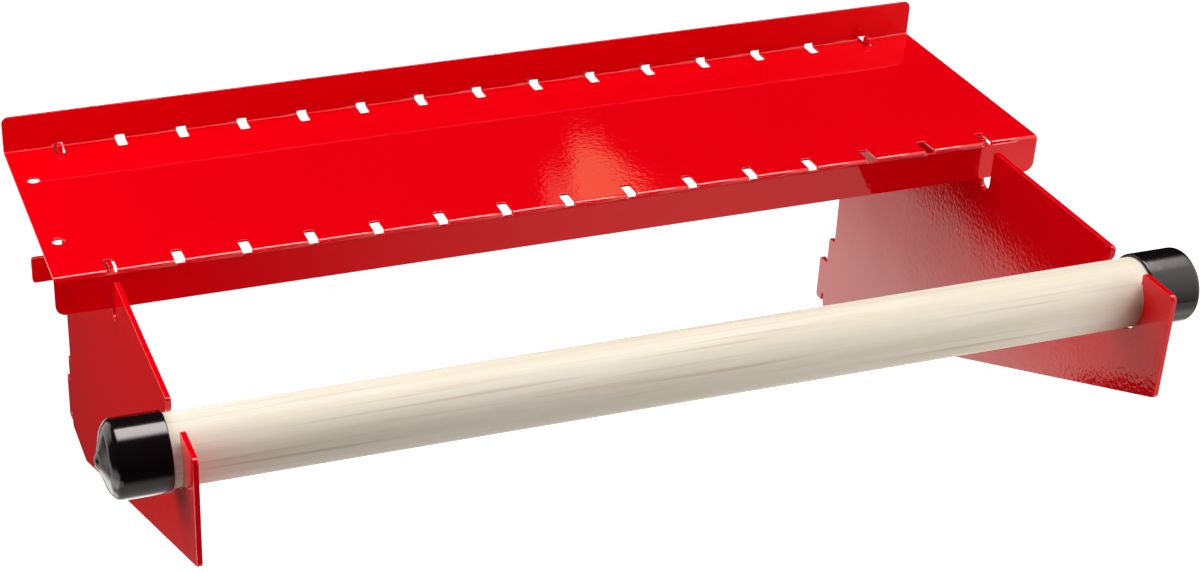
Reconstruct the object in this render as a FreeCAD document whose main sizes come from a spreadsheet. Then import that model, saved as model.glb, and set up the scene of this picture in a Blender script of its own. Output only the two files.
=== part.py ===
"""Slotted wall shelf with a roll dowel, six separate pieces, in millimetres.

Frame: X runs along the shelf and is 0 midway between the brackets. Y is 0 in
the plane of the wall panel and the shelf stands on its -Y side. Z is 0 on the
tray's top surface and +Z is up.
"""
import FreeCAD, Part
import Sketcher
import math
import os
import re

# Driving dimensions: name, millimetres (or a plain count), what it measures.
SIZES = [
    ("slot_pitch", 25.4, "from one tray slot to the next"),
    ("slot_count", 15, "slots along each bend; a bracket stands in the first and in the last"),
    ("slot_width", 4.0, "slot across the plate that stands in it"),
    ("front_slot_reach", 9.0, "front slot on the tray, from the flange's face inwards"),
    ("rear_slot_reach", 7.8, "rear slot on the tray, from the back of the lip inwards"),
    ("slot_wrap", 1.3, "slot round the bend, above or below the tray's top surface"),
    ("slot_corner", 0.6, "corner radius of a slot's end on the flange or the lip"),
    ("slot_cut", 0.5, "cut across the corners of a slot's end on the tray"),
    ("shelf_gauge", 1.0, "steel sheet of the shelf"),
    ("shelf_depth", 108.8, "front of the flange to the back of the lip"),
    ("shelf_end_margin", 21.9, "end slot to the end of the shelf"),
    ("shelf_standoff", 5.5, "back of the lip to the wall panel"),
    ("lip_rise", 15.1, "top of the rear lip above the tray"),
    ("flange_drop", 15.6, "bottom of the front flange below the tray's top surface"),
    ("bend_radius", 0.8, "inside radius of the shelf's two bends"),
    ("lip_corner", 3.0, "corner radius of the lip"),
    ("flange_corner", 4.0, "corner radius of the flange"),
    ("hang_hole_bore", 5.0, "round holes at the left end of the tray"),
    ("hang_hole_inset", 7.2, "round holes to the end of the shelf"),
    ("hang_hole_pitch", 52.5, "between the two round holes"),
    ("plate_gauge", 2.0, "steel plate of a bracket"),
    ("rear_nub_length", 3.5, "nub in a rear slot, along the slot"),
    ("front_nub_length", 4.3, "nub in a front slot, along the slot"),
    ("rear_nub_gap", 0.4, "rear nub to the inner end of its slot"),
    ("front_nub_gap", 1.2, "front nub to the inner end of its slot"),
    ("rear_nub_rise", 3.0, "rear nub above the tray"),
    ("nub_corner", 0.8, "corner radius on top of a nub"),
    ("flange_play", 0.3, "flange to the back of the bracket's notch"),
    ("notch_gap", 5.8, "flange to the front of the notch"),
    ("notch_floor_gap", 3.5, "flange to the floor of the notch"),
    ("dowel_diameter", 25.4, "round wooden rod"),
    ("dowel_reach", 99.2, "dowel axis in front of the flange"),
    ("dowel_drop", 14.6, "dowel axis below the tray's top surface"),
    ("dowel_chamfer", 0.8, "broken edge at each end of the dowel"),
    ("seat_play", 0.8, "radius of the seat over that of the dowel"),
    ("seat_rest_gap", 0.3, "dowel above the bottom of its seat"),
    ("mouth_lap", 3.5, "how far each jaw of the seat closes over the dowel"),
    ("prong_width", 18.5, "prong in front of the seat's mouth"),
    ("front_height", 41.8, "front edge of the bracket"),
    ("arm_corner", 1.2, "corner radius of the arm's upper corners"),
    ("jaw_corner", 0.8, "corner radius where a jaw turns into the seat"),
    ("prong_corner", 2.0, "corner radius at the front of the bracket"),
    ("heel_length", 29.0, "level part of the bracket's bottom edge"),
    ("heel_corner", 2.0, "corner radius at the ends of the heel"),
    ("upper_hook_drop", 11.7, "plate's top edge to the upper hook"),
    ("hook_pitch", 101.6, "upper hook to lower hook"),
    ("hook_height", 20.9, "a hook from top to tip"),
    ("hook_depth", 6.6, "a hook behind the wall plane"),
    ("hook_slit_width", 1.6, "gap for the wall panel's sheet"),
    ("hook_slit_height", 4.0, "how far a hook hangs over the sheet"),
    ("hook_corner", 1.5, "corner radius of a hook"),
    ("foot_above_hook", 12.9, "wall edge above the lower hook"),
    ("foot_below_hook", 2.0, "wall edge below a hook"),
    ("relief_corner", 1.0, "corner radius of the rear relief"),
    ("ear_bend_radius", 2.8, "inside radius of the ear's bend"),
    ("ear_drop", 16.4, "top of the ear below the top of the relief"),
    ("ear_height", 11.5, "ear up and down"),
    ("ear_length", 12.7, "ear outwards from the plate's face"),
    ("ear_corner", 1.2, "corner radius of the ear"),
    ("cap_standoff", 2.8, "rim of a cap to its bracket"),
    ("cap_grip", 18.4, "dowel inside a cap"),
    ("cap_play", 0.05, "running clearance of a cap on the dowel, on the radius"),
    ("cap_wall", 1.15, "vinyl wall round the dowel"),
    ("cap_end_wall", 2.4, "vinyl at the edge of the end, beyond the dowel"),
    ("cap_shoulder", 1.6, "how far the shoulder is turned, along the sleeve and across the end"),
    ("cap_cone_rise", 1.6, "cone of the end face"),
    ("cap_drip_foot", 6.8, "diameter, where it leaves the cone, of the drip left by the dipping"),
    ("cap_drip_tip", 3.4, "diameter of the drip at its flat tip"),
    ("cap_drip_rise", 1.8, "drip beyond the cone"),
]

# Places worked out from the driving dimensions: name, formula, what it is.
PLACES = [
    ("bracket_x", "slot_pitch * (slot_count - 1) / 2", "middle of the right bracket's plate"),
    ("shelf_width", "2 * bracket_x + 2 * shelf_end_margin", "whole length of the shelf"),
    ("lip_back_y", "0 - shelf_standoff", "back of the lip"),
    ("lip_face_y", "lip_back_y - shelf_gauge", "front of the lip"),
    ("flange_face_y", "lip_back_y - shelf_depth", "front of the flange"),
    ("flange_back_y", "flange_face_y + shelf_gauge", "back of the flange"),
    ("rear_slot_y", "lip_back_y - rear_slot_reach", "inner end of the rear slots"),
    ("front_slot_y", "flange_face_y + front_slot_reach", "inner end of the front slots"),
    ("plate_top_z", "0 - shelf_gauge", "top edge of a bracket, under the tray"),
    ("notch_back_y", "flange_back_y + flange_play", "back of the notch"),
    ("notch_face_y", "flange_face_y - notch_gap", "front of the notch"),
    ("notch_floor_z", "0 - flange_drop - notch_floor_gap", "floor of the notch"),
    ("dowel_y", "flange_face_y - dowel_reach", "dowel axis"),
    ("dowel_z", "0 - dowel_drop", "dowel axis"),
    ("seat_radius", "dowel_diameter / 2 + seat_play", "open seat of the dowel"),
    ("seat_z", "dowel_z + seat_play - seat_rest_gap", "centre of the seat"),
    ("mouth_half", "seat_radius - mouth_lap", "half of the seat's mouth"),
    ("arm_tip_y", "dowel_y + mouth_half", "rear jaw of the seat"),
    ("prong_back_y", "dowel_y - mouth_half", "front jaw of the seat"),
    ("prong_face_y", "prong_back_y - prong_width", "front edge of a bracket"),
    ("front_foot_z", "plate_top_z - front_height", "lower end of the front edge"),
    ("upper_hook_z", "plate_top_z - upper_hook_drop", "top of the upper hook"),
    ("lower_hook_z", "upper_hook_z - hook_pitch", "top of the lower hook"),
    ("heel_z", "lower_hook_z - hook_height - foot_below_hook", "bottom edge of a bracket"),
    ("relief_top_z", "upper_hook_z - hook_height - foot_below_hook", "top of the rear relief"),
    ("relief_low_z", "lower_hook_z + foot_above_hook", "bottom of the rear relief"),
    ("relief_y", "0 - plate_gauge - ear_bend_radius", "rear edge within the relief"),
    ("ear_top_z", "relief_top_z - ear_drop", "top of the ear"),
    ("ear_low_z", "ear_top_z - ear_height", "bottom of the ear"),
    ("ear_bend_x", "plate_gauge / 2 + ear_bend_radius", "axis of the ear's bend"),
    ("ear_tip_x", "plate_gauge / 2 + ear_length", "outer end of the ear"),
    ("cap_rim_x", "bracket_x + plate_gauge / 2 + cap_standoff", "open rim of the right cap"),
    ("dowel_length", "2 * (cap_rim_x + cap_grip)", "whole length of the dowel"),
    ("cap_bore_radius", "dowel_diameter / 2 + cap_play", "bore of a cap"),
    ("cap_radius", "cap_bore_radius + cap_wall", "outside of a cap"),
    ("cap_shoulder_x", "cap_grip + cap_end_wall", "shoulder of a cap from its rim"),
    ("cap_cone_x", "cap_shoulder_x + cap_cone_rise", "small end of the cone from the rim"),
    ("cap_cone_lean", "cap_cone_rise / (cap_radius - cap_drip_foot / 2)", "rise over run of the cone"),
]

OVERCUT = "1"       # how far a cutting sketch runs out past the sheet that it cuts
HALF_TURN = 180.0   # degrees


def write_sheet(doc):
    """Fills one sheet: driving numbers first, then the places worked out from them."""
    sheet = doc.addObject("Spreadsheet::Sheet", "Sizes")
    rows = [(name, str(number), note) for name, number, note in SIZES]
    rows += [(name, "=" + formula, note) for name, formula, note in PLACES]
    for row, (name, content, note) in enumerate(rows, start=1):
        sheet.set("A%d" % row, name)
        sheet.set("B%d" % row, content)
        sheet.set("C%d" % row, note)
        sheet.setAlias("B%d" % row, name)
    doc.recompute()
    return sheet


def bound(formula):
    """Turns the names in a formula into references to the sheet's cells."""
    known = {name for name, _, _ in SIZES + PLACES}
    return re.sub(r"\w+", lambda word: "Sizes." * (word[0] in known) + word[0], formula)


def number(doc, formula):
    """The present value of a formula, in millimetres."""
    return float(doc.Sizes.evalExpression(bound(formula)))


def new_body(doc, name):
    """An empty body whose label is the piece's name."""
    body = doc.addObject("PartDesign::Body", name)
    body.Label = name
    return body


def origin_part(body, role):
    """One of the body's own origin planes or axes."""
    return next(item for item in body.Origin.OriginFeatures if item.Role == role)


def new_sketch(body, name, plane, offset=None):
    """A sketch on one of the body's origin planes, moved along the plane's normal by offset."""
    sketch = body.newObject("Sketcher::SketchObject", body.Name + "_" + name)
    sketch.AttachmentSupport = [(origin_part(body, plane), "")]
    sketch.MapMode = "FlatFace"
    if offset:
        sketch.setExpression("AttachmentOffset.Base.z", bound(offset))
    return sketch


def tie(sketch, kind, geometry, point, formula):
    """Ties one point of the sketch to a place measured from the sketch's origin."""
    value = number(sketch.Document, formula)
    index = sketch.addConstraint(Sketcher.Constraint(kind, -1, 1, geometry, point, value))
    sketch.setExpression("Constraints[%d]" % index, bound(formula))


def tie_point(sketch, geometry, point, place):
    """Ties a point in both directions."""
    tie(sketch, "DistanceX", geometry, point, place[0])
    tie(sketch, "DistanceY", geometry, point, place[1])


def spot(sketch, place):
    """The present position of a pair of formulas."""
    doc = sketch.Document
    return FreeCAD.Vector(number(doc, place[0]), number(doc, place[1]), 0)


def draw_outline(sketch, corners):
    """Draws a closed outline of straight lines whose corners are pairs of formulas."""
    places = [spot(sketch, corner) for corner in corners]
    count = len(places)
    first = sketch.GeometryCount
    for index in range(count):
        line = Part.LineSegment(places[index], places[(index + 1) % count])
        sketch.addGeometry(line, False)
    for index in range(count):
        following = first + (index + 1) % count
        sketch.addConstraint(Sketcher.Constraint("Coincident", first + index, 2, following, 1))
        tie_point(sketch, first + index, 1, corners[index])


def draw_box(sketch, left, right, low, high):
    """Draws a rectangle between four formulas."""
    draw_outline(sketch, [(left, low), (right, low), (right, high), (left, high)])


def draw_circle(sketch, centre, radius):
    """Draws a circle about a pair of formulas."""
    size = number(sketch.Document, radius)
    circle = Part.Circle(spot(sketch, centre), FreeCAD.Vector(0, 0, 1), size)
    index = sketch.addGeometry(circle, False)
    tie_point(sketch, index, 3, centre)
    limit = sketch.addConstraint(Sketcher.Constraint("Radius", index, size))
    sketch.setExpression("Constraints[%d]" % limit, bound(radius))


def draw_arc(sketch, centre, radius, start_degrees, end_degrees):
    """Adds an arc, counterclockwise from start to end, and returns its index."""
    circle = Part.Circle(spot(sketch, centre), FreeCAD.Vector(0, 0, 1), number(sketch.Document, radius))
    arc = Part.ArcOfCircle(circle, math.radians(start_degrees), math.radians(end_degrees))
    return sketch.addGeometry(arc, False)


def draw_rounded_box(sketch, left, right, low, high, radius):
    """Draws a rectangle with four equal round corners between four formulas."""
    inset = "(" + radius + ")"
    corners = [
        (right + " - " + inset, low + " + " + inset, 270, 360),
        (right + " - " + inset, high + " - " + inset, 0, 90),
        (left + " + " + inset, high + " - " + inset, 90, 180),
        (left + " + " + inset, low + " + " + inset, 180, 270),
    ]
    arcs = [draw_arc(sketch, (across, up), radius, start, end) for across, up, start, end in corners]
    sides = []
    for index in range(4):
        ends = [sketch.getPoint(arcs[index], 2), sketch.getPoint(arcs[(index + 1) % 4], 1)]
        sides.append(sketch.addGeometry(Part.LineSegment(*ends), False))
    for index in range(4):
        sketch.addConstraint(Sketcher.Constraint("Tangent", arcs[index], 2, sides[index], 1))
        sketch.addConstraint(Sketcher.Constraint("Tangent", sides[index], 2, arcs[(index + 1) % 4], 1))
    for index in range(3):
        sketch.addConstraint(Sketcher.Constraint("Equal", arcs[0], arcs[index + 1]))
    sketch.addConstraint(Sketcher.Constraint("Vertical", sides[0]))
    sketch.addConstraint(Sketcher.Constraint("Horizontal", sides[1]))
    tie(sketch, "DistanceX", sides[0], 1, right)
    tie(sketch, "DistanceY", sides[1], 1, high)
    tie(sketch, "DistanceX", sides[2], 1, left)
    tie(sketch, "DistanceY", sides[3], 1, low)
    limit = sketch.addConstraint(Sketcher.Constraint("Radius", arcs[0], number(sketch.Document, radius)))
    sketch.setExpression("Constraints[%d]" % limit, bound(radius))


def pad(body, sketch, length, both_ways=True):
    """Adds a pad over a sketch, centred on it unless told otherwise."""
    feature = body.newObject("PartDesign::Pad", sketch.Name + "_pad")
    feature.Profile = sketch
    feature.SideType = "Symmetric" if both_ways else "One side"
    feature.setExpression("Length", bound(length))
    sketch.Document.recompute()
    return feature


def pocket(body, sketch, length):
    """Cuts a sketch out of the body, half of the length to each side."""
    before = body.Shape.Volume
    feature = body.newObject("PartDesign::Pocket", sketch.Name + "_cut")
    feature.Profile = sketch
    feature.SideType = "Symmetric"
    feature.setExpression("Length", bound(length))
    sketch.Document.recompute()
    if body.Shape.Volume >= before:
        raise RuntimeError(feature.Name + " cuts nothing")
    return feature


def straight_edges(body, along, places):
    """Names of the body's edges that run along X, Y or Z through the given places."""
    axis = "xyz".index(along)
    others = [index for index in range(3) if index != axis]
    wanted = [tuple(number(body.Document, formula) for formula in place) for place in places]
    local = body.Tip.Shape
    names = []
    for index, edge in enumerate(local.Edges, start=1):
        ends = [vertex.Point for vertex in edge.Vertexes]
        if len(ends) != 2 or not isinstance(edge.Curve, Part.Line):
            continue
        if any(abs(ends[0][other] - ends[1][other]) > 1e-5 for other in others):
            continue
        here = [ends[0][other] for other in others]
        if any(math.dist(here, place) < 1e-4 for place in wanted):
            names.append("Edge%d" % index)
    return names


def ring_edges(body, rings):
    """Names of the body's circular edges about the X axis at the given (x, radius) pairs."""
    wanted = [tuple(number(body.Document, formula) for formula in ring) for ring in rings]
    names = []
    for index, edge in enumerate(body.Tip.Shape.Edges, start=1):
        if not isinstance(edge.Curve, Part.Circle):
            continue
        here = (edge.Curve.Center.x, edge.Curve.Radius)
        if any(math.dist(here, ring) < 1e-4 for ring in wanted):
            names.append("Edge%d" % index)
    return names


def round_edges(body, name, edges, radius):
    """Rounds the named edges of the body's last feature."""
    if not edges:
        raise RuntimeError(body.Name + "_" + name + " has no edge to round")
    base = body.Tip
    feature = body.newObject("PartDesign::Fillet", body.Name + "_" + name)
    feature.Base = (base, edges)
    feature.setExpression("Radius", bound(radius))
    body.Document.recompute()
    return feature


def break_edges(body, name, edges, size):
    """Chamfers the named edges of the body's last feature."""
    base = body.Tip
    feature = body.newObject("PartDesign::Chamfer", body.Name + "_" + name)
    feature.Base = (base, edges)
    feature.setExpression("Size", bound(size))
    body.Document.recompute()
    return feature


def fold_shelf_sheet(body):
    """The folded sheet: lip up at the rear, flat tray, flange down at the front."""
    section = new_sketch(body, "section", "YZ_Plane")
    draw_outline(section, [
        ("lip_back_y", "plate_top_z"),
        ("lip_back_y", "lip_rise"),
        ("lip_face_y", "lip_rise"),
        ("lip_face_y", "0"),
        ("flange_face_y", "0"),
        ("flange_face_y", "0 - flange_drop"),
        ("flange_back_y", "0 - flange_drop"),
        ("flange_back_y", "plate_top_z"),
    ])
    pad(body, section, "shelf_width")
    inside = [("lip_face_y", "0"), ("flange_back_y", "plate_top_z")]
    round_edges(body, "inner_bends", straight_edges(body, "x", inside), "bend_radius")
    outside = [("lip_back_y", "plate_top_z"), ("flange_face_y", "0")]
    round_edges(body, "outer_bends", straight_edges(body, "x", outside), "bend_radius + shelf_gauge")
    ends = ["shelf_width / 2", "0 - shelf_width / 2"]
    lip_ends = straight_edges(body, "y", [(end, "lip_rise") for end in ends])
    round_edges(body, "lip_corners", lip_ends, "lip_corner")
    flange_ends = straight_edges(body, "y", [(end, "0 - flange_drop") for end in ends])
    round_edges(body, "flange_corners", flange_ends, "flange_corner")


def draw_slot_end(sketch, left, right, end, mouth, way):
    """The part of a slot that lies in the tray; way is 1 for a slot that opens to the rear."""
    shoulder = "%s %s slot_cut" % (end, "+" if way > 0 else "-")
    draw_outline(sketch, [
        (left, mouth),
        (left, shoulder),
        (left + " + slot_cut", end),
        (right + " - slot_cut", end),
        (right, shoulder),
        (right, mouth),
    ])


def cut_shelf_slots(body):
    """One row of slots through each bend: on the tray, then round the bend."""
    left = "0 - bracket_x - slot_width / 2"
    right = "0 - bracket_x + slot_width / 2"
    bend_depth = "bend_radius + shelf_gauge"
    on_tray = new_sketch(body, "slots_on_tray", "XY_Plane")
    draw_slot_end(on_tray, left, right, "rear_slot_y", "lip_back_y - (%s)" % bend_depth, 1)
    draw_slot_end(on_tray, left, right, "front_slot_y", "flange_face_y + " + bend_depth, -1)
    tray_cut = pocket(body, on_tray, "2 * shelf_gauge + " + OVERCUT)
    on_flange = new_sketch(body, "slots_on_flange", "XZ_Plane", "0 - flange_face_y - (%s) / 2" % bend_depth)
    draw_rounded_box(on_flange, left, right, "0 - slot_wrap", OVERCUT, "slot_corner")
    flange_cut = pocket(body, on_flange, bend_depth + " + " + OVERCUT)
    on_lip = new_sketch(body, "slots_on_lip", "XZ_Plane", "0 - lip_back_y + (%s) / 2" % bend_depth)
    draw_rounded_box(on_lip, left, right, "plate_top_z - " + OVERCUT, "slot_wrap", "slot_corner")
    lip_cut = pocket(body, on_lip, bend_depth + " + " + OVERCUT)
    rows = body.newObject("PartDesign::LinearPattern", "slot_rows")
    rows.Originals = [tray_cut, flange_cut, lip_cut]
    rows.Direction = (origin_part(body, "X_Axis"), [""])
    rows.setExpression("Length", bound("slot_pitch * (slot_count - 1)"))
    rows.setExpression("Occurrences", bound("slot_count"))
    body.Tip = rows
    body.Document.recompute()


def make_shelf(doc):
    """The shelf: one sheet with slots through its bends and two hanging holes."""
    body = new_body(doc, "shelf")
    fold_shelf_sheet(body)
    cut_shelf_slots(body)
    holes = new_sketch(body, "hanging_holes", "XY_Plane")
    across = "hang_hole_inset - shelf_width / 2"
    for side in ("+", "-"):
        along = "(lip_back_y + flange_face_y) / 2 %s hang_hole_pitch / 2" % side
        draw_circle(holes, (across, along), "hang_hole_bore / 2")
    pocket(body, holes, "4 * shelf_gauge")
    return body


def draw_hook(sketch, top):
    """One hook: a tooth behind the wall plane with a slit for the panel's sheet."""
    low = top + " - hook_height"
    slit_top = low + " + hook_slit_height"
    draw_outline(sketch, [
        ("0", top),
        ("hook_depth", top),
        ("hook_depth", low),
        ("hook_slit_width", low),
        ("hook_slit_width", slit_top),
        ("0", slit_top),
    ])


def draw_notch(sketch):
    """The notch that takes the shelf's flange: open at the top, round at the bottom."""
    half = "(notch_back_y - notch_face_y) / 2"
    middle = "(notch_back_y + notch_face_y) / 2"
    centre = (middle, "notch_floor_z + " + half)
    top = "plate_top_z + " + OVERCUT
    floor = draw_arc(sketch, centre, half, HALF_TURN, 2 * HALF_TURN)
    back = sketch.addGeometry(Part.LineSegment(sketch.getPoint(floor, 2), spot(sketch, ("notch_back_y", top))))
    lid = sketch.addGeometry(Part.LineSegment(sketch.getPoint(back, 2), spot(sketch, ("notch_face_y", top))))
    face = sketch.addGeometry(Part.LineSegment(sketch.getPoint(lid, 2), sketch.getPoint(floor, 1)))
    sketch.addConstraint(Sketcher.Constraint("Tangent", floor, 2, back, 1))
    sketch.addConstraint(Sketcher.Constraint("Coincident", back, 2, lid, 1))
    sketch.addConstraint(Sketcher.Constraint("Coincident", lid, 2, face, 1))
    sketch.addConstraint(Sketcher.Constraint("Tangent", face, 2, floor, 1))
    sketch.addConstraint(Sketcher.Constraint("Vertical", back))
    tie_point(sketch, lid, 1, ("notch_back_y", top))
    tie_point(sketch, lid, 2, ("notch_face_y", top))
    tie(sketch, "DistanceY", floor, 3, centre[1])


def cut_plate(body):
    """The flat plate: arm, prong, seat, notch, nubs and hooks."""
    outline = new_sketch(body, "outline", "YZ_Plane")
    draw_outline(outline, [
        ("0", "plate_top_z"),
        ("0", "relief_top_z"),
        ("relief_y", "relief_top_z"),
        ("relief_y", "relief_low_z"),
        ("0", "relief_low_z"),
        ("0", "heel_z"),
        ("0 - heel_length", "heel_z"),
        ("prong_face_y", "front_foot_z"),
        ("prong_face_y", "plate_top_z"),
    ])
    pad(body, outline, "plate_gauge")

    nubs = new_sketch(body, "nubs", "YZ_Plane")
    rear_end = "rear_slot_y + rear_nub_gap"
    front_end = "front_slot_y - front_nub_gap"
    draw_box(nubs, rear_end, rear_end + " + rear_nub_length", "plate_top_z", "rear_nub_rise")
    draw_box(nubs, front_end + " - front_nub_length", front_end, "plate_top_z", "0")
    pad(body, nubs, "plate_gauge")

    hooks = new_sketch(body, "hooks", "YZ_Plane")
    draw_hook(hooks, "upper_hook_z")
    draw_hook(hooks, "lower_hook_z")
    pad(body, hooks, "plate_gauge")

    notch = new_sketch(body, "notch", "YZ_Plane")
    draw_notch(notch)
    pocket(body, notch, "2 * plate_gauge")

    seat = new_sketch(body, "seat", "YZ_Plane")
    draw_circle(seat, ("dowel_y", "seat_z"), "seat_radius")
    pocket(body, seat, "2 * plate_gauge")

    mouth = new_sketch(body, "mouth", "YZ_Plane")
    draw_box(mouth, "prong_back_y", "arm_tip_y", "seat_z", "plate_top_z + " + OVERCUT)
    pocket(body, mouth, "2 * plate_gauge")


def fold_ear(body, side):
    """The ear: a strip of the plate bent outwards until its back lies in the wall plane."""
    out = "%d * " % side
    strip = new_sketch(body, "ear", "XY_Plane", "ear_low_z")
    bend = (out + "ear_bend_x", "relief_y")
    near, far = (90, 180) if side > 0 else (0, 90)
    outer = draw_arc(strip, bend, "plate_gauge + ear_bend_radius", near, far)
    inner = draw_arc(strip, bend, "ear_bend_radius", near, far)
    root, crown = (2, 1) if side > 0 else (1, 2)
    back_tip = (out + "ear_tip_x", "0")
    face_tip = (out + "ear_tip_x", "0 - plate_gauge")
    back = strip.addGeometry(Part.LineSegment(strip.getPoint(outer, crown), spot(strip, back_tip)))
    tip = strip.addGeometry(Part.LineSegment(spot(strip, back_tip), spot(strip, face_tip)))
    face = strip.addGeometry(Part.LineSegment(spot(strip, face_tip), strip.getPoint(inner, crown)))
    foot = strip.addGeometry(Part.LineSegment(strip.getPoint(inner, root), strip.getPoint(outer, root)))
    strip.addConstraint(Sketcher.Constraint("Tangent", outer, crown, back, 1))
    strip.addConstraint(Sketcher.Constraint("Coincident", back, 2, tip, 1))
    strip.addConstraint(Sketcher.Constraint("Coincident", tip, 2, face, 1))
    strip.addConstraint(Sketcher.Constraint("Tangent", face, 2, inner, crown))
    strip.addConstraint(Sketcher.Constraint("Coincident", inner, root, foot, 1))
    strip.addConstraint(Sketcher.Constraint("Coincident", foot, 2, outer, root))
    strip.addConstraint(Sketcher.Constraint("Coincident", outer, 3, inner, 3))
    strip.addConstraint(Sketcher.Constraint("Horizontal", foot))
    tie_point(strip, outer, 3, bend)
    tie_point(strip, tip, 1, back_tip)
    tie_point(strip, tip, 2, face_tip)
    tie(strip, "DistanceY", foot, 1, "relief_y")
    pad(body, strip, "ear_height", both_ways=False)
    corners = [(out + "ear_tip_x", "ear_top_z"), (out + "ear_tip_x", "ear_low_z")]
    round_edges(body, "ear_corners", straight_edges(body, "y", corners), "ear_corner")


def round_plate(body):
    """Rounds the plate's corners, each radius in one go."""
    mouth_z = "seat_z + sqrt(seat_radius ^ 2 - mouth_half ^ 2)"
    hook_tips = []
    for top in ("upper_hook_z", "lower_hook_z"):
        hook_tips += [("hook_depth", top), ("hook_depth", top + " - hook_height")]
    nub_end = "rear_slot_y + rear_nub_gap"
    nub_ends = [nub_end, nub_end + " + rear_nub_length"]
    rounds = {
        "arm_corners": ("arm_corner", [("notch_face_y", "plate_top_z"), ("arm_tip_y", "plate_top_z"),
                                       ("prong_back_y", "plate_top_z")]),
        "jaw_corners": ("jaw_corner", [("arm_tip_y", mouth_z), ("prong_back_y", mouth_z)]),
        "prong_corners": ("prong_corner", [("prong_face_y", "plate_top_z"), ("prong_face_y", "front_foot_z")]),
        "heel_corners": ("heel_corner", [("0", "heel_z"), ("0 - heel_length", "heel_z")]),
        "hook_corners": ("hook_corner", hook_tips),
        "relief_corners": ("relief_corner", [("0", "relief_top_z"), ("0", "relief_low_z")]),
        "nub_corners": ("nub_corner", [(end, "rear_nub_rise") for end in nub_ends]),
    }
    for name, (radius, places) in rounds.items():
        round_edges(body, name, straight_edges(body, "x", places), radius)


def make_bracket(doc, name, side):
    """One bracket; side is 1 for the right one and -1 for the left one."""
    body = new_body(doc, name)
    cut_plate(body)
    fold_ear(body, side)
    round_plate(body)
    body.setExpression("Placement.Base.x", bound("%d * bracket_x" % side))
    return body


def make_dowel(doc):
    """The round wooden rod that carries the roll."""
    body = new_body(doc, "dowel")
    section = new_sketch(body, "section", "YZ_Plane")
    draw_circle(section, ("0", "0"), "dowel_diameter / 2")
    pad(body, section, "dowel_length")
    ends = [("dowel_length / 2", "dowel_diameter / 2"), ("0 - dowel_length / 2", "dowel_diameter / 2")]
    break_edges(body, "ends", ring_edges(body, ends), "dowel_chamfer")
    body.setExpression("Placement.Base.y", bound("dowel_y"))
    body.setExpression("Placement.Base.z", bound("dowel_z"))
    return body


def make_end_cap(doc, name, side):
    """One dipped vinyl cap: a straight sleeve, a turned shoulder and a coned end with a drip."""
    body = new_body(doc, name)
    section = new_sketch(body, "section", "XY_Plane")
    tip = "cap_cone_x + cap_drip_rise"
    draw_outline(section, [
        ("0", "cap_bore_radius"),
        ("cap_grip", "cap_bore_radius"),
        ("cap_grip", "0"),
        (tip, "0"),
        (tip, "cap_drip_tip / 2"),
        ("cap_cone_x", "cap_drip_foot / 2"),
        ("cap_shoulder_x + cap_shoulder * cap_cone_lean", "cap_radius - cap_shoulder"),
        ("cap_shoulder_x - cap_shoulder", "cap_radius"),
        ("0", "cap_radius"),
    ])
    turn = body.newObject("PartDesign::Revolution", name + "_turned")
    turn.Profile = section
    turn.ReferenceAxis = (section, ["H_Axis"])
    turn.Angle = 2 * HALF_TURN
    facing = FreeCAD.Rotation(FreeCAD.Vector(0, 0, 1), 0 if side > 0 else HALF_TURN)
    body.Placement = FreeCAD.Placement(FreeCAD.Vector(0, 0, 0), facing)
    body.setExpression("Placement.Base.x", bound("%d * cap_rim_x" % side))
    body.setExpression("Placement.Base.y", bound("dowel_y"))
    body.setExpression("Placement.Base.z", bound("dowel_z"))
    return body


def check(doc, pieces):
    """Stops with a message if any object failed or any piece is not one valid solid."""
    for item in doc.Objects:
        if "Invalid" in item.State or "Error" in item.State:
            raise RuntimeError("%s failed: %s" % (item.Name, item.State))
    for piece in pieces:
        shape = piece.Shape
        if shape.isNull() or not shape.isValid() or len(shape.Solids) != 1:
            raise RuntimeError(piece.Label + " is not one valid solid")


def main():
    """Builds the six pieces and writes each to its own STEP file."""
    doc = FreeCAD.newDocument("roll_shelf")
    write_sheet(doc)
    pieces = [
        make_shelf(doc),
        make_bracket(doc, "left_bracket", -1),
        make_bracket(doc, "right_bracket", 1),
        make_dowel(doc),
        make_end_cap(doc, "left_end_cap", -1),
        make_end_cap(doc, "right_end_cap", 1),
    ]
    doc.recompute()
    check(doc, pieces)
    os.makedirs("parts", exist_ok=True)
    for piece in pieces:
        piece.Shape.exportStep("parts/%s.step" % piece.Label)
        box = piece.Shape.BoundBox
        print("%-14s volume %9.1f  x %8.2f %8.2f  y %8.2f %8.2f  z %8.2f %8.2f" % (
            piece.Label, piece.Shape.Volume, box.XMin, box.XMax, box.YMin, box.YMax, box.ZMin, box.ZMax))


main()
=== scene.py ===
# %% [markdown]
# # A red steel shelf that holds a roll of paper
# The object hangs on a slotted steel wall panel. Two hooked brackets carry a folded tray, and a wooden
# dowel lies in open seats in front of it, so that a roll of gift wrap or towels can turn on it. Black
# caps on the dowel's ends keep it from sliding out. This lesson loads the plain solids and gives each
# piece the edges, finish and grain of the real one.

# %% Load the solids
import math

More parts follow.
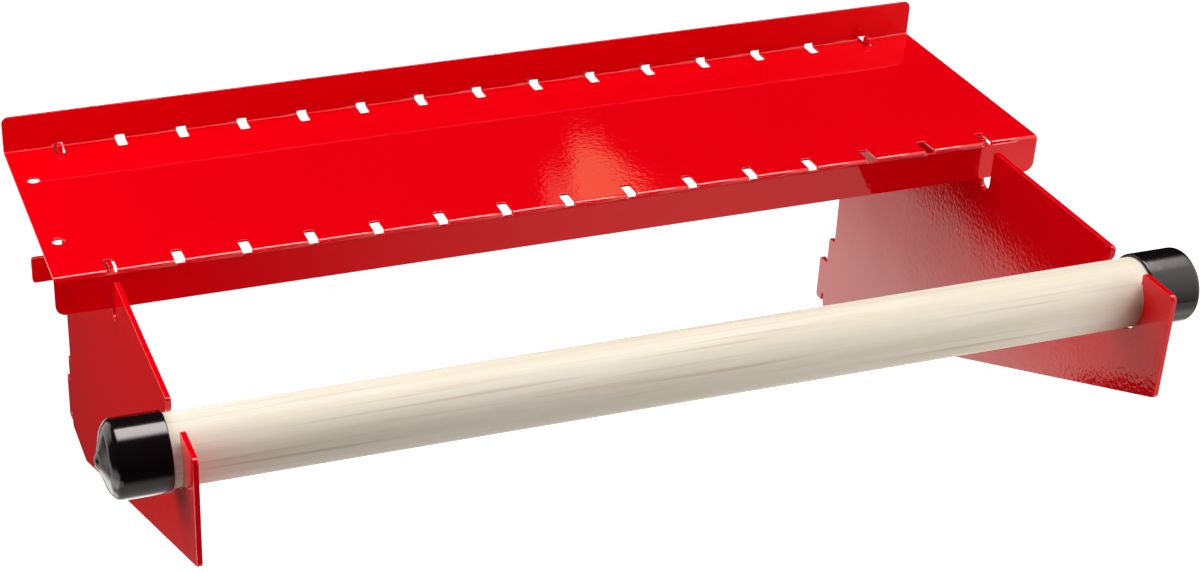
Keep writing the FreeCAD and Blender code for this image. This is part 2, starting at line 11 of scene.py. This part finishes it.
import bpy
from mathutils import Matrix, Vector


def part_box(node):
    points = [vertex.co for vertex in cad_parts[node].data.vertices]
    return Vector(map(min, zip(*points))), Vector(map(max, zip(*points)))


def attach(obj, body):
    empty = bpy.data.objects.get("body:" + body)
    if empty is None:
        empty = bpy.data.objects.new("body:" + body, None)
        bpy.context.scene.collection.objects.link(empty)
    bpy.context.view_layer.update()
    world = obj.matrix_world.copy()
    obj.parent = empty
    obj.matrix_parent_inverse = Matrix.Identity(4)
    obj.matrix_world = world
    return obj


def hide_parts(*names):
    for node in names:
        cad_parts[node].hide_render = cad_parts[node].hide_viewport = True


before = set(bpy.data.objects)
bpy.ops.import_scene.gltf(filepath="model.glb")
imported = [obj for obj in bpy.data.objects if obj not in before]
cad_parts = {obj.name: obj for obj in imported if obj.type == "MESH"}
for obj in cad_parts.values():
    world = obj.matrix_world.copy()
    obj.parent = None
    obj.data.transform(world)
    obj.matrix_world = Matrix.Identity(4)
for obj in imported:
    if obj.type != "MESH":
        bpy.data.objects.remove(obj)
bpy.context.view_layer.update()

print("solids:", ", ".join(sorted(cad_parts)))

# %% [markdown]
# ## The camera
# The shelf is looked at through a long lens, from above and to one side. The lens is shifted sideways
# rather than turned, which keeps the lines of the tray at their true angles. The camera comes first,
# because every finish is judged through it.

# %% Set up the camera
def mm(value):
    """Millimetres as Blender's metres."""
    return value * 0.001


lens = bpy.data.cameras.new("product camera")
lens.sensor_width = 36      # millimetres, as is the focal length
lens.lens = 70.41
lens.shift_x = 0.2389       # in parts of the frame's width
lens.shift_y = 0.01775
lens.clip_start = mm(50)
camera = bpy.data.objects.new("product camera", lens)
camera.location = (mm(-309.476), mm(-850.357), mm(413.318))
camera.rotation_euler = [math.radians(turn) for turn in (60.0035, 0.5871, -16.0456)]
bpy.context.scene.collection.objects.link(camera)
bpy.context.scene.camera = camera
bpy.context.scene.view_settings.view_transform = "Standard"
print("camera at", tuple(round(place, 3) for place in camera.location))

# %% [markdown]
# ## The studio
# Gloss shows what stands round it, so a glossy red shelf needs two things from its studio. The first
# is plain light: one wide diffuser overhead, and soft fills at the left, the front and the right. The
# second is something to mirror: the diffuser itself as a bright patch, a white table and paper, a pale
# wall at the right, and darkness in between, which keeps the red deep. The lamps give the light, and
# the world holds what is mirrored.

# %% Helpers for node trees
def paint(code):
    """An sRGB hex colour as the linear colour that Blender's sockets expect."""
    levels = [int(code[place:place + 2], 16) / 255 for place in (1, 3, 5)]
    return tuple(level / 12.92 if level <= 0.04045 else ((level + 0.055) / 1.055) ** 2.4
                 for level in levels) + (1.0,)


def add(tree, kind, settings=None, **inputs):
    """Adds a node, sets its properties, and fills or links its inputs by name or by number."""
    node = tree.nodes.new(kind)
    for name, value in (settings or {}).items():
        setattr(node, name, value)
    for name, value in inputs.items():
        socket = node.inputs[int(name[1:]) if name[0] == "n" and name[1:].isdigit() else name.replace("_", " ")]
        if isinstance(value, bpy.types.NodeSocket):
            tree.links.new(value, socket)
        else:
            socket.default_value = value
    return node


def new_material(name):
    """An empty material with its output node: (material, tree, output)."""
    material = bpy.data.materials.new(name)
    material.use_nodes = True
    material.node_tree.nodes.clear()
    return material, material.node_tree, material.node_tree.nodes.new("ShaderNodeOutputMaterial")


# %% Floor
FLOOR_HEIGHT = mm(-750)     # the shelf hangs well above the floor
FLOOR_SIZE = mm(14000)
FLOOR_GLOW = 0.8            # what the camera sees of it beyond the light of the lamps
bpy.ops.object.select_all(action="DESELECT")
bpy.ops.mesh.primitive_plane_add(size=FLOOR_SIZE, location=(0, 0, FLOOR_HEIGHT))
floor = bpy.context.object
floor.name = "studio_floor"
floor_finish, tree, output = new_material("matt white studio paper")
paper = add(tree, "ShaderNodeBsdfDiffuse", Color=paint("#F4F4F4"))
path = add(tree, "ShaderNodeLightPath")
seen = add(tree, "ShaderNodeMath", {"operation": "MAXIMUM"},
           n0=path.outputs["Is Camera Ray"], n1=path.outputs["Is Transmission Ray"])
glow = add(tree, "ShaderNodeMath", {"operation": "MULTIPLY"}, n0=seen.outputs[0], n1=FLOOR_GLOW)
light = add(tree, "ShaderNodeEmission", Color=paint("#FFFFFF"), Strength=glow.outputs[0])
both = add(tree, "ShaderNodeAddShader", n0=paper.outputs[0], n1=light.outputs[0])
tree.links.new(both.outputs[0], output.inputs["Surface"])
floor.data.materials.append(floor_finish)
floor.visible_glossy = False
print("floor at", FLOOR_HEIGHT)

# %% [markdown]
# ## What the gloss mirrors
# Each patch below is a surface of the studio, given by the directions in which it is seen from the
# shelf. x points to the right, y to the back and z up, and all three make a vector of length one.
# A patch has soft limits on some of them and a brightness, where 1 is white paper. Some edges slant, so
# their limits are set on a weighted sum of directions. Matt surfaces are lit by a plain dim level
# instead of the patches, and the camera sees plain white.

# %% The world
MATT_LEVEL = 0.27     # light from all sides on matt surfaces
world = bpy.data.worlds.new("studio room")
bpy.context.scene.world = world
world.use_nodes = True
world.node_tree.nodes.clear()
room = world.node_tree
way = add(room, "ShaderNodeTexCoord").outputs["Generated"]
parts = add(room, "ShaderNodeSeparateXYZ", Vector=way).outputs
to_right, to_back, to_top = parts["X"], parts["Y"], parts["Z"]


def blend_of(*terms):
    """A weighted sum of directions: pairs of a socket and its weight."""
    total = 0.0
    for socket, weight in terms:
        total = add(room, "ShaderNodeMath", {"operation": "MULTIPLY_ADD"},
                    n0=socket, n1=weight, n2=total).outputs[0]
    return total


def patch(brightness, *limits):
    """A mirrored surface: its brightness, then for each limit a socket, its start and where it is full."""
    level = brightness
    for socket, start, full in limits:
        edge = add(room, "ShaderNodeMapRange", {"interpolation_type": "SMOOTHSTEP"},
                   Value=socket, From_Min=min(start, full), From_Max=max(start, full),
                   To_Min=float(start > full), To_Max=float(start < full)).outputs[0]
        level = add(room, "ShaderNodeMath", {"operation": "MULTIPLY"}, n0=level, n1=edge).outputs[0]
    return level


up_steep = blend_of((to_back, 1.0), (to_top, -0.58))      # 0 along the rear edge of the diffuser
up_front = blend_of((to_back, 1.0), (to_top, 0.07))       # 0 along its front edge
table_far = blend_of((to_top, -1.0), (to_right, 0.9))     # grows below the far edge of the white table
window_edge = blend_of((to_top, 1.0), (to_right, -1.0))   # grows above the slanting edge of a far window
wall_tone = add(room, "ShaderNodeMath", {"operation": "MULTIPLY_ADD"},
                n0=to_top, n1=1.4, n2=0.9).outputs[0]     # the wall is brighter further up
table_near = add(room, "ShaderNodeMath", {"operation": "MAXIMUM"},
                 n0=patch(1.0, (to_right, -0.520, -0.512)), n1=patch(1.0, (to_top, -0.503, -0.499))).outputs[0]
table = ((to_right, -0.60, -0.50), (table_near, 0.0, 1.0), (to_back, 0.2, 0.5))
surfaces = {
    "overhead diffuser": patch(11.5, (to_top, 0.55, 0.62), (up_steep, 0.06, -0.06), (up_front, -0.14, 0.12),
                               (to_right, -0.45, -0.05), (to_right, 0.58, 0.44)),
    "pale wall": patch(wall_tone, (to_right, 0.40, 0.56), (to_back, 0.58, 0.30), (to_top, -0.6, -0.3)),
    "white table": patch(1.1, (table_far, 0.005, 0.028), (to_right, -0.20, -0.28), *table),
    "its lit half": patch(0.95, (table_far, 0.024, 0.08), (to_right, -0.30, -0.40), *table),
    "its front end": patch(1.1, (table_far, 0.028, 0.005), (to_right, -0.515, -0.53),
                           (to_top, -0.466, -0.474), *table),
    "card at the left": patch(1.5, (to_right, -0.22, -0.36), (to_top, -0.34, -0.26), (to_top, 0.6, 0.4),
                              (to_back, 0.3, 0.6)),
    "table at the left": patch(1.6, (to_right, -0.60, -0.75), (to_top, -0.2, -0.4)),
    "dim gap": patch(0.035, (to_right, -0.30, -0.20), (to_right, -0.02, -0.10), (to_top, -0.2, -0.4),
                     (to_back, 0.2, 0.5)),
    "paper behind": patch(1.8, (to_top, -0.30, -0.42), (to_right, -0.09, -0.03), (to_back, 0.2, 0.5)),
    "paper in front": patch(0.75, (to_top, -0.38, -0.44), (to_right, 0.16, 0.42), (to_back, 0.0, -0.3)),
    "paper below": patch(0.7, (to_top, -0.55, -0.8)),
    "paper at the left": patch(1.1, (to_right, -0.17, -0.21), (to_top, -0.53, -0.57), (to_top, -0.80, -0.72)),
    "far window": patch(0.95, (to_top, 0.434, 0.438), (window_edge, 0.078, 0.082), (to_right, 0.344, 0.350),
                        (to_back, 0.6, 0.7), (to_top, 0.52, 0.50)),
    "its side pane": patch(0.45, (to_top, 0.447, 0.450), (to_right, 0.333, 0.336), (to_right, 0.352, 0.346),
                           (to_back, 0.6, 0.7), (to_top, 0.52, 0.50)),
}
mirrored = blend_of(*[(level, 1.0) for level in surfaces.values()])
window = blend_of((surfaces["far window"], 1.0), (surfaces["its side pane"], 1.0))
print("the gloss mirrors:", ", ".join(surfaces))

path = add(room, "ShaderNodeLightPath")
seen = add(room, "ShaderNodeMath", {"operation": "MAXIMUM"},
           n0=path.outputs["Is Camera Ray"], n1=path.outputs["Is Transmission Ray"])
plain = add(room, "ShaderNodeMix", {"data_type": "FLOAT"}, Factor=seen.outputs[0], A=MATT_LEVEL, B=1.0)
strength = add(room, "ShaderNodeMix", {"data_type": "FLOAT"}, Factor=path.outputs["Is Glossy Ray"],
               A=plain.outputs[0], B=mirrored)
warmth = add(room, "ShaderNodeMixRGB", Fac=window, Color1=paint("#FFFBF4"), Color2=paint("#FFEFB4"))
tint = add(room, "ShaderNodeMixRGB", Fac=path.outputs["Is Glossy Ray"], Color1=paint("#FFFFFF"),
           Color2=warmth.outputs[0])
air = add(room, "ShaderNodeBackground", Color=tint.outputs[0], Strength=strength.outputs[0])
room.links.new(air.outputs[0], add(room, "ShaderNodeOutputWorld").inputs["Surface"])


# %% Lamps
def lamp(name, place, target, size, power):
    """A rectangular soft lamp that faces a point, in metres and watts; the world holds its mirror image."""
    data = bpy.data.lights.new(name, "AREA")
    data.shape = "RECTANGLE"
    data.size, data.size_y = size
    data.energy = power
    item = bpy.data.objects.new(name, data)
    item.location = place
    item.rotation_euler = (Vector(target) - Vector(place)).to_track_quat("-Z", "Y").to_euler()
    item.visible_glossy = item.visible_camera = False
    bpy.context.scene.collection.objects.link(item)
    print(name, "gives", power, "W")


lamp("overhead diffuser", (0.5, -0.2, 1.5), (0, -0.1, 0), (1.3, 1.1), 26)
lamp("left fill", (-0.55, -0.06, 0.14), (-0.15, -0.1, -0.05), (0.3, 0.3), 1.9)
lamp("front fill", (0.6, -1.2, 0.4), (0, -0.1, 0), (0.6, 0.6), 0.4)
lamp("right fill", (0.5, -0.55, -0.15), (0.15, -0.15, 0), (0.35, 0.35), 1.4)

# %% [markdown]
# ## Red powder coat
# The tray and the brackets are mild steel with a baked polyester powder coat. The powder melts into a
# thick, very glossy skin that never lies quite flat: it has the fine dimples known as orange peel,
# nearly two millimetres across, which only show where something bright is mirrored. A bump from fine
# noise gives the dimples, and one from slow noise the waves of the sheet below. Polyester has an IOR of
# about 1.5, and the colour lies in the skin itself.

# %% Powder coat
PEEL_WIDTH = mm(1.8)          # across one dimple
TRAY_PEEL = mm(0.011)         # depth of a dimple on the tray
BRACKET_PEEL = mm(0.012)      # and on the brackets
WAVE_WIDTH = mm(30)           # across one slow wave of the sheet
WAVE_DEPTH = mm(0.03)
DRIFT_WIDTH = mm(55)          # across one change of the red, hardly seen


def powder_coat(name, peel_depth):
    """Red powder coat whose dimples are this deep from rim to floor."""
    coat, tree, output = new_material(name)
    place = add(tree, "ShaderNodeTexCoord").outputs["Object"]
    peel = add(tree, "ShaderNodeTexNoise", Vector=place, Scale=1 / PEEL_WIDTH, Detail=1.5, Roughness=0.45)
    waves = add(tree, "ShaderNodeTexNoise", Vector=place, Scale=1 / WAVE_WIDTH, Detail=1.0, Roughness=0.4)
    sheet = add(tree, "ShaderNodeBump", Height=waves.outputs["Fac"], Distance=WAVE_DEPTH, Strength=1.0)
    dimples = add(tree, "ShaderNodeBump", Height=peel.outputs["Fac"], Distance=peel_depth, Strength=1.0,
                  Normal=sheet.outputs[0])
    drift = add(tree, "ShaderNodeTexNoise", Vector=place, Scale=1 / DRIFT_WIDTH, Detail=2.0)
    shade = add(tree, "ShaderNodeMixRGB", Fac=drift.outputs["Fac"],
                Color1=paint("#DB000D"), Color2=paint("#E2000F"))
    skin = add(tree, "ShaderNodeBsdfPrincipled", Base_Color=shade.outputs[0], Roughness=0.03, IOR=1.5,
               Normal=dimples.outputs[0])
    tree.links.new(skin.outputs[0], output.inputs["Surface"])
    return coat


tray_coat = powder_coat("gloss red polyester powder coat on the tray", TRAY_PEEL)
bracket_coat = powder_coat("gloss red polyester powder coat on the brackets", BRACKET_PEEL)
print("coats:", tray_coat.name, "and", bracket_coat.name)

# %% [markdown]
# ## The steel pieces
# The tray and the brackets are cut from sheet, and paint rounds every cut edge to about a quarter of a
# millimetre. Those soft edges catch thin bright lines, which the eye reads as painted metal. Each plain
# solid already has the right outline, so its skin is copied, its loose triangles are joined, and a
# bevel rounds the edges. The flat sides keep their own normals, so they stay flat beside the bevels.

# %% Dress the steel
PAINT_EDGE = mm(0.22)         # width of the round that paint gives a cut edge
FLAT_AREA = mm(2.5) ** 2      # a flat side has more area than this
FLAT_WIDTH = mm(1.2)          # and is wider on the average than this


def only(piece):
    """Selects one object and nothing else."""
    if bpy.context.mode != "OBJECT":
        bpy.ops.object.mode_set(mode="OBJECT")
    bpy.ops.object.select_all(action="DESELECT")
    piece.select_set(True)
    bpy.context.view_layer.objects.active = piece


def is_flat(mesh, face):
    """Whether a face is part of a flat side, by its area and its mean width."""
    round_it = sum((mesh.vertices[a].co - mesh.vertices[b].co).length for a, b in face.edge_keys)
    return face.area > FLAT_AREA and 2 * face.area / round_it > FLAT_WIDTH


def finish_mesh(piece, edge, segments, sharper_than):
    """Rounds the edges sharper than an angle, in degrees, and keeps the flat sides flat."""
    only(piece)
    bpy.ops.object.shade_smooth()
    bevel = piece.modifiers.new("rounded edges", "BEVEL")
    bevel.width = edge
    bevel.segments = segments
    bevel.limit_method = "ANGLE"
    bevel.angle_limit = math.radians(sharper_than)
    bevel.use_clamp_overlap = False
    bpy.ops.object.modifier_apply(modifier=bevel.name)
    bpy.ops.object.mode_set(mode="EDIT")
    bpy.ops.mesh.select_mode(type="FACE")
    bpy.ops.mesh.select_all(action="DESELECT")
    bpy.ops.object.mode_set(mode="OBJECT")
    for face in piece.data.polygons:
        face.select = is_flat(piece.data, face)
    bpy.ops.object.mode_set(mode="EDIT")
    bpy.ops.mesh.set_normals_from_faces()
    bpy.ops.object.mode_set(mode="OBJECT")


def paint_over(node, name, body, finish):
    """A painted copy of a plain solid, with its cut edges rounded."""
    piece = bpy.data.objects.new(name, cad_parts[node].data.copy())
    bpy.context.scene.collection.objects.link(piece)
    only(piece)
    bpy.ops.object.mode_set(mode="EDIT")
    bpy.ops.mesh.select_all(action="SELECT")
    bpy.ops.mesh.remove_doubles(threshold=mm(0.002))
    bpy.ops.mesh.dissolve_limited(angle_limit=math.radians(0.5))
    bpy.ops.object.mode_set(mode="OBJECT")
    finish_mesh(piece, PAINT_EDGE, 2, 35)
    piece.data.materials.clear()
    piece.data.materials.append(finish)
    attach(piece, body)
    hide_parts(node)
    print(name, "has", len(piece.data.polygons), "faces")


paint_over("shelf", "folded_tray", "shelf", tray_coat)
paint_over("left_bracket", "left_bracket_plate", "brackets", bracket_coat)
paint_over("right_bracket", "right_bracket_plate", "brackets", bracket_coat)

# %% [markdown]
# ## The dowel
# A one inch birch dowel is turned, sanded and left bare. Birch is pale and close-grained: along the rod
# run faint darker streaks, the edges of its growth rings, with fine pores between them. Beside the right
# seat the rod's lower side is coloured red-brown. The rod is a cylinder whose ends are broken with
# a small chamfer.

# %% Birch
RING_LENGTH, RING_WIDTH = mm(160), mm(6)          # a growth ring's mark, along and across the rod
STREAK_LENGTH, STREAK_WIDTH = mm(110), mm(1.7)    # a brown streak
PORE_LENGTH, PORE_WIDTH = mm(22), mm(0.55)        # a pore, drawn as coarse as it needs to show
PORE_DEPTH = mm(0.03)
BROWN_PATCH_START, BROWN_PATCH_FULL = mm(168), mm(177)            # along the rod, towards the seat
BROWN_PATCH_TOP, BROWN_PATCH_LOW = mm(-6), mm(-15)                # down the rod's side
birch, tree, output = new_material("bare sanded birch")
place = add(tree, "ShaderNodeTexCoord").outputs["Object"]
along = add(tree, "ShaderNodeMapping", Vector=place, Scale=(1 / RING_LENGTH, 1 / RING_WIDTH, 1 / RING_WIDTH))
rings = add(tree, "ShaderNodeTexNoise", Vector=along.outputs[0], Scale=1.0, Detail=4.0, Roughness=0.6,
            Distortion=0.4)
tone = add(tree, "ShaderNodeValToRGB", Fac=rings.outputs["Fac"])
for stop, position, code in zip(tone.color_ramp.elements, (0.3, 0.68), ("#D9CDB9", "#E5DCCE")):
    stop.position = position
    stop.color = paint(code)
drawn = add(tree, "ShaderNodeMapping", Vector=place,
            Scale=(1 / STREAK_LENGTH, 1 / STREAK_WIDTH, 1 / STREAK_WIDTH))
lines = add(tree, "ShaderNodeTexNoise", Vector=drawn.outputs[0], Scale=1.0, Detail=1.0, Roughness=0.5)
brown = add(tree, "ShaderNodeMapRange", Value=lines.outputs["Fac"],
            From_Min=0.58, From_Max=0.74, To_Min=0.0, To_Max=0.35)
streaked = add(tree, "ShaderNodeMixRGB", Fac=brown.outputs[0], Color1=tone.outputs[0], Color2=paint("#B08C64"))
spot = add(tree, "ShaderNodeSeparateXYZ", Vector=place).outputs
# A red-brown patch on the rod's lower side beside the right seat, stronger towards the seat and towards the
# bottom.
by_seat = add(tree, "ShaderNodeMapRange", {"interpolation_type": "SMOOTHSTEP"}, Value=spot["X"],
              From_Min=BROWN_PATCH_START, From_Max=BROWN_PATCH_FULL, To_Min=0.0, To_Max=0.75)
low_down = add(tree, "ShaderNodeMapRange", {"interpolation_type": "SMOOTHSTEP"}, Value=spot["Z"],
               From_Min=BROWN_PATCH_LOW, From_Max=BROWN_PATCH_TOP, To_Min=1.0, To_Max=0.0)
brown_patch = add(tree, "ShaderNodeMath", {"operation": "MULTIPLY"}, n0=by_seat.outputs[0], n1=low_down.outputs[0])
with_brown_patch = add(tree, "ShaderNodeMixRGB", Fac=brown_patch.outputs[0], Color1=streaked.outputs[0], Color2=paint("#A0583C"))
fine = add(tree, "ShaderNodeMapping", Vector=place, Scale=(1 / PORE_LENGTH, 1 / PORE_WIDTH, 1 / PORE_WIDTH))
pores = add(tree, "ShaderNodeTexNoise", Vector=fine.outputs[0], Scale=1.0, Detail=2.0, Roughness=0.6)
specks = add(tree, "ShaderNodeMapRange", Value=pores.outputs["Fac"],
             From_Min=0.25, From_Max=0.55, To_Min=0.95, To_Max=1.0)
wood = add(tree, "ShaderNodeMixRGB", {"blend_type": "MULTIPLY"}, Fac=1.0,
           Color1=with_brown_patch.outputs[0], Color2=specks.outputs[0])
grain = add(tree, "ShaderNodeBump", Height=pores.outputs["Fac"], Distance=PORE_DEPTH, Strength=0.5)
bare = add(tree, "ShaderNodeBsdfPrincipled", Base_Color=wood.outputs[0], Roughness=0.6, IOR=1.45,
           Normal=grain.outputs[0])
tree.links.new(bare.outputs[0], output.inputs["Surface"])
print(birch.name, "has", len(tree.nodes), "nodes")

# %% Turn the dowel
TURNED_SIDES = 96             # sides of a round piece
DOWEL_RADIUS = mm(12.7)
DOWEL_CHAMFER = mm(0.8)
low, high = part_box("dowel")
centre = (low + high) / 2
bpy.ops.object.select_all(action="DESELECT")
bpy.ops.mesh.primitive_cylinder_add(vertices=TURNED_SIDES, radius=DOWEL_RADIUS, depth=high.x - low.x,
                                    location=centre, rotation=(0, math.radians(90), 0))
dowel = bpy.context.object
dowel.name = "birch_dowel"
bpy.ops.object.transform_apply(location=True, rotation=True, scale=True)
finish_mesh(dowel, DOWEL_CHAMFER, 3, 60)
dowel.data.materials.append(birch)
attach(dowel, "dowel")
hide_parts("dowel")
print("dowel from", round(low.x, 4), "to", round(high.x, 4))

# %% [markdown]
# ## The end caps
# Each cap was made by dipping a warm mandrel into liquid vinyl. That leaves a soft even sleeve with a
# rolled shoulder, an end that rises to the middle, and one drip where the last of the vinyl ran off.
# The sleeve starts as a cylinder. Its end is inset and drawn out to the drip, and its mouth is inset
# and pushed in to make the bore.

# %% Vinyl
RIPPLE_WIDTH, RIPPLE_DEPTH = mm(7), mm(0.05)      # the slow unevenness of a dipped skin
DULL_START, DULL_FULL = mm(201.8), mm(203.2)      # from the middle of the shelf to a cap's end
vinyl, tree, output = new_material("black plastisol vinyl, dip moulded")
place = add(tree, "ShaderNodeTexCoord").outputs["Object"]
waves = add(tree, "ShaderNodeTexNoise", Vector=place, Scale=1 / RIPPLE_WIDTH, Detail=2.0, Roughness=0.5)
ripple = add(tree, "ShaderNodeBump", Height=waves.outputs["Fac"], Distance=RIPPLE_DEPTH, Strength=1.0)
spot = add(tree, "ShaderNodeSeparateXYZ", Vector=place).outputs
reach = add(tree, "ShaderNodeMath", {"operation": "ABSOLUTE"}, n0=spot["X"])
dulled = add(tree, "ShaderNodeMapRange", Value=reach.outputs[0],
             From_Min=DULL_START, From_Max=DULL_FULL, To_Min=0.13, To_Max=0.2)
black = add(tree, "ShaderNodeBsdfPrincipled", Base_Color=paint("#100B0D"), Roughness=dulled.outputs[0], IOR=1.53,
            Specular_Tint=(1.0, 0.93, 1.0, 1.0), Normal=ripple.outputs[0])
tree.links.new(black.outputs[0], output.inputs["Surface"])
print(vinyl.name, "is duller on a cap's end")

# %% Model one cap
# All in millimetres, with x counted from the rim.
SLEEVE_RADIUS, SLEEVE_LENGTH = 13.9, 18.0
SLEEVE_WALL, BORE_DEPTH = 1.15, 17.4
CHAMFER_INSET, CHAMFER_RISE = 2.8, 2.4
CONE_INSET, CONE_RISE = 7.6, 2.3
DRIP_STEPS = ((0.3, 0.84), (0.4, 0.82), (0.4, 0.76), (0.2, 0.5))     # how far it rises, how much it shrinks
CHAMFER_X = SLEEVE_LENGTH + CHAMFER_RISE
CONE_X = CHAMFER_X + CONE_RISE
NEAR = 0.1     # how close a vertex counts as in place


def pick_ring(piece, test):
    """Selects the vertices for which test(x, radius) holds, x and radius in millimetres."""
    bpy.ops.object.mode_set(mode="OBJECT")
    for vertex in piece.data.vertices:
        vertex.select = test(vertex.co.x * 1000, math.hypot(vertex.co.y, vertex.co.z) * 1000)
    for edge in piece.data.edges:
        edge.select = all(piece.data.vertices[end].select for end in edge.vertices)
    for face in piece.data.polygons:
        face.select = all(piece.data.vertices[corner].select for corner in face.vertices)
    bpy.ops.object.mode_set(mode="EDIT")


def model_cap():
    """One cap along +X with the middle of its rim at the origin."""
    bpy.ops.object.select_all(action="DESELECT")
    bpy.ops.mesh.primitive_cylinder_add(vertices=TURNED_SIDES, radius=mm(SLEEVE_RADIUS), depth=mm(SLEEVE_LENGTH),
                                        location=(mm(SLEEVE_LENGTH / 2), 0, 0), rotation=(0, math.radians(90), 0))
    cap = bpy.context.object
    bpy.ops.object.transform_apply(location=True, rotation=True, scale=True)
    bpy.ops.object.mode_set(mode="EDIT")
    bpy.ops.mesh.select_mode(type="FACE")
    pick_ring(cap, lambda x, radius: x > SLEEVE_LENGTH - NEAR)
    for thickness, rise in ((CHAMFER_INSET, CHAMFER_RISE), (CONE_INSET, CONE_RISE)):
        bpy.ops.mesh.inset(thickness=mm(thickness))
        bpy.ops.transform.translate(value=(mm(rise), 0, 0))
    for rise, shrink in DRIP_STEPS:
        bpy.ops.mesh.extrude_region_move(TRANSFORM_OT_translate={"value": (mm(rise), 0, 0)})
        bpy.ops.transform.resize(value=(1, shrink, shrink), center_override=(0, 0, 0))
    pick_ring(cap, lambda x, radius: x < NEAR)
    bpy.ops.mesh.inset(thickness=mm(SLEEVE_WALL))
    bpy.ops.mesh.extrude_region_move(TRANSFORM_OT_translate={"value": (mm(BORE_DEPTH), 0, 0)})
    bpy.ops.mesh.select_mode(type="EDGE")
    rounds = ((lambda x, radius: abs(x - SLEEVE_LENGTH) < NEAR and radius > SLEEVE_RADIUS - NEAR, 1.3, 6),
              (lambda x, radius: abs(x - CHAMFER_X) < NEAR, 0.8, 4),
              (lambda x, radius: abs(x - CONE_X) < NEAR, 0.6, 3),
              (lambda x, radius: x < NEAR, 0.5, 4))
    for where, width, steps in rounds:
        pick_ring(cap, where)
        bpy.ops.mesh.bevel(offset=mm(width), segments=steps, affect="EDGES")
    bpy.ops.object.mode_set(mode="OBJECT")
    only(cap)
    bpy.ops.object.shade_smooth()
    weighted = cap.modifiers.new("flat faces stay flat", "WEIGHTED_NORMAL")
    bpy.ops.object.modifier_apply(modifier=weighted.name)
    cap.data.materials.append(vinyl)
    return cap


def place_cap(cap, node, name, body, side):
    """Turns a cap to its side and moves it to its node's place."""
    low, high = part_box(node)
    cap.name = name
    cap.rotation_euler = (0, 0, 0 if side > 0 else math.radians(180))
    cap.location = (low.x if side > 0 else high.x, (low.y + high.y) / 2, (low.z + high.z) / 2)
    only(cap)
    bpy.ops.object.transform_apply(location=True, rotation=True, scale=True)
    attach(cap, body)
    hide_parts(node)
    print(name, "has", len(cap.data.polygons), "faces")


right_cap = model_cap()
left_cap = right_cap.copy()
left_cap.data = right_cap.data.copy()
bpy.context.scene.collection.objects.link(left_cap)
place_cap(right_cap, "right_end_cap", "right_vinyl_cap", "right_cap", 1)
place_cap(left_cap, "left_end_cap", "left_vinyl_cap", "left_cap", -1)

# %% [markdown]
# ## The plain solids' own finish
# The solids behind the pieces keep the same finishes, so that each one looks right by itself too.

# %% Finish the solids
for node, finish in (("shelf", tray_coat), ("left_bracket", bracket_coat), ("right_bracket", bracket_coat),
                     ("dowel", birch), ("left_end_cap", vinyl), ("right_end_cap", vinyl)):
    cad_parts[node].data.materials.clear()
    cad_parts[node].data.materials.append(finish)
    print(node, "is finished in", finish.name)
